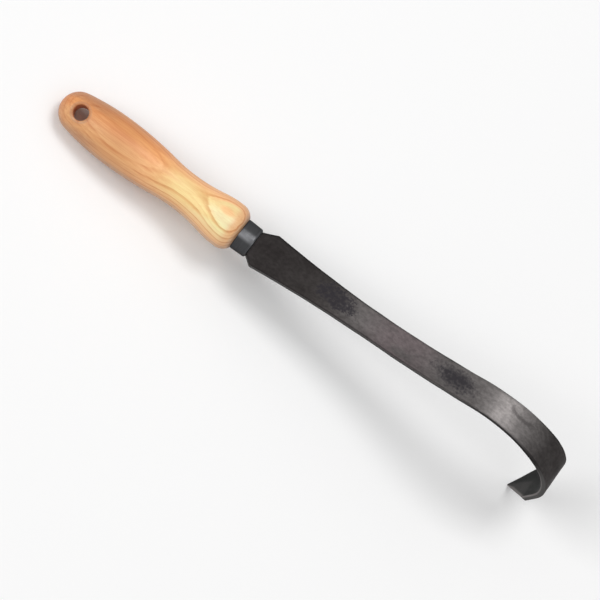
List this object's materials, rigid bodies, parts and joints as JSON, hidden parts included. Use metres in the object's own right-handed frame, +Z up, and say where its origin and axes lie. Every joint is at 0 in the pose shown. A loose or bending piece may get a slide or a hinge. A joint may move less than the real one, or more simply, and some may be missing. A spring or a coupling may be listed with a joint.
{
  "type": "hand draw hoe",
  "caption": "Short hand draw hoe: turned ash grip with a hanging hole, steel ferrule, and a flat forged strap that hooks over into a spear point for pulling through soil.",
  "frame": {"origin": "on the ground under the middle of the tool's length, with the butt and the spear's tip touching z = 0", "axes": "+X from the butt towards the hook, +Y across the strap, +Z up; the grip's axis climbs towards the hook in the XZ plane"},
  "size_m": [0.3922, 0.0328, 0.1099],
  "materials": {
    "ash_wood": "turned ash, clear satin lacquer",
    "ferrule_steel": "satin blue-grey black",
    "forged_steel": "hot-forged black steel with mill scale, waxed",
    "cured_epoxy": "cured filled epoxy, out of sight"
  },
  "bodies": {
    "root": {"handle": "ash_wood", "ferrule": "ferrule_steel", "blade": "forged_steel", "tang_adhesive": "cured_epoxy"}
  },
  "joints": []
}
